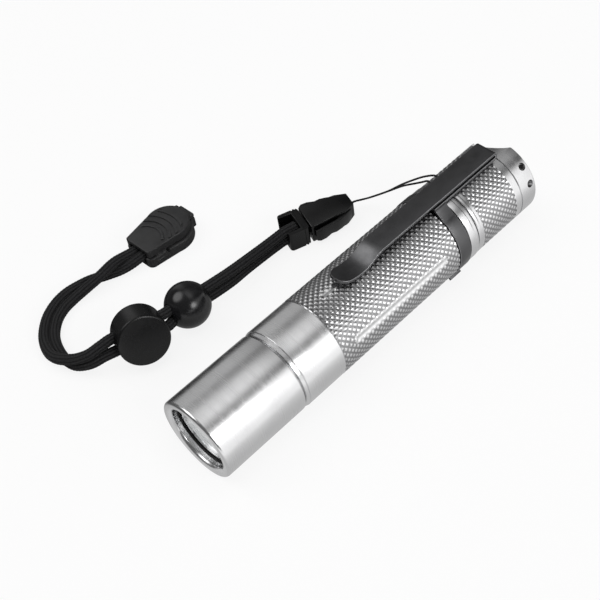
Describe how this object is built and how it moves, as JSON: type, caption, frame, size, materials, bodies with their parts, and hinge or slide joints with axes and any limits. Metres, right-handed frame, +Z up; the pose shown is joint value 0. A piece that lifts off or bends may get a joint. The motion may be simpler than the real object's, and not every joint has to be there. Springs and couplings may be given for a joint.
{
  "type": "pocket flashlight with wrist lanyard",
  "caption": "Slim metal pocket flashlight with a knurled grip, recessed tail switch, folded spring clip and a hitched wrist strap with buckle, bead, cord lock and end clip.",
  "frame": {"origin": "on the floor under the middle of the light's length", "axes": "+X along the light towards the tail switch, -Y towards the side with the lanyard holes, +Z up through the pocket clip"},
  "size_m": [0.106, 0.0737, 0.0229],
  "materials": {
    "bare_aluminium": "satin, clear coated",
    "black_rubber": "matte",
    "glass": "clear",
    "reflector_metal": "smooth mirror",
    "white_plastic": "matte",
    "emitter": "clear dome over yellow",
    "board_metal": "white coated",
    "lead_wire": "insulated",
    "brass": "turned",
    "circuit_board": "solder mask",
    "component_plastic": "moulded",
    "spring_steel": "plated wire",
    "cell_jacket": "printed foil without marks",
    "plated_steel": "plated",
    "clip_steel": "satin black, bright edges",
    "black_cord": "braided",
    "black_plastic": "fine satin",
    "gloss_black": "polished"
  },
  "bodies": {
    "tube": {"battery_tube": "bare_aluminium", "head_o_ring": "black_rubber", "tail_o_ring": "black_rubber", "battery_cell": "cell_jacket", "battery_cap": "plated_steel", "clip_ring": "clip_steel", "lanyard_loop": "black_cord", "buckle_top": "black_plastic"},
    "head_contact": {"driver_spring": "spring_steel"},
    "head": {"head_shell": "bare_aluminium", "bezel_gasket": "black_rubber", "lens": "glass", "reflector": "reflector_metal", "led_gasket": "white_plastic", "led_emitter": "emitter", "led_board": "board_metal", "led_leads": "lead_wire", "pill": "brass", "driver_board": "circuit_board", "driver_parts": "component_plastic"},
    "tail_contact": {"tail_spring": "spring_steel"},
    "tail_cap": {"tailcap_shell": "bare_aluminium", "switch_boot": "black_rubber", "switch_spacer": "white_plastic", "switch_body": "component_plastic", "switch_board": "circuit_board", "switch_retaining_ring": "brass"},
    "switch_button": {"switch_plunger": "white_plastic"},
    "clip": {"clip_arm": "clip_steel"},
    "strap": {"buckle_bottom": "black_plastic", "strap_cord_a": "black_cord", "strap_cord_b": "black_cord", "end_clip_base": "black_plastic"},
    "cord_lock": {"cord_lock_barrel": "black_plastic", "cord_lock_spring": "spring_steel"},
    "lock_button": {"cord_lock_plunger": "black_plastic"},
    "strap_bead": {"bead": "gloss_black"},
    "end_lid": {"end_clip_lid": "black_plastic"}
  },
  "joints": [
    {"name": "head_travel", "type": "slide", "parent": "tube", "child": "head_contact", "axis": [-1, 0, 0], "range_m": [0, 0.0016]},
    {"name": "head_twist", "type": "hinge", "parent": "head_contact", "child": "head", "pos_m": [-0.0387, 0, 0.01015], "axis": [-1, 0, 0], "range_deg": [0, 721]},
    {"name": "tail_travel", "type": "slide", "parent": "tube", "child": "tail_contact", "axis": [1, 0, 0], "range_m": [0, 0.0032]},
    {"name": "tail_twist", "type": "hinge", "parent": "tail_contact", "child": "tail_cap", "pos_m": [0.0398, 0, 0.01015], "axis": [1, 0, 0], "range_deg": [0, 1442]},
    {"name": "switch_press", "type": "slide", "parent": "tail_cap", "child": "switch_button", "axis": [-1, 0, 0], "range_m": [0, 0.0014], "stiffness_N_per_m": 1500, "springref_m": -0.0005, "deforming": ["switch_boot"]},
    {"name": "clip_flex", "type": "hinge", "parent": "tube", "child": "clip", "pos_m": [0.0445, 0, 0.0218], "axis": [0, 1, 0], "range_deg": [0, 4], "stiffness_Nm_per_rad": 3, "springref_deg": -1.15},
    {"name": "buckle_release", "type": "slide", "parent": "tube", "child": "strap", "axis": [-0.9426, 0.3338, 0], "range_m": [0, 0.009]},
    {"name": "lock_slide", "type": "slide", "parent": "strap", "child": "cord_lock", "axis": [-0.9511, 0.309, 0], "range_m": [0, 0.002]},
    {"name": "lock_press", "type": "slide", "parent": "cord_lock", "child": "lock_button", "axis": [-0.2885, -0.8879, 0.3584], "range_m": [0, 0.0015], "stiffness_N_per_m": 1200, "springref_m": -0.0004, "deforming": ["cord_lock_spring"]},
    {"name": "bead_slide", "type": "slide", "parent": "strap", "child": "strap_bead", "axis": [0.9938, -0.059, -0.0941], "range_m": [0, 0.008]},
    {"name": "end_clip_open", "type": "hinge", "parent": "strap", "child": "end_lid", "pos_m": [-0.00351, 0.05738, 0.0031], "axis": [-0.0349, 0.9994, 0], "range_deg": [0, 100]}
  ],
  "couplings": [
    {"joint": "head_twist", "follows": "head_travel", "rad_per_m": 7854},
    {"joint": "tail_twist", "follows": "tail_travel", "rad_per_m": 7854}
  ]
}
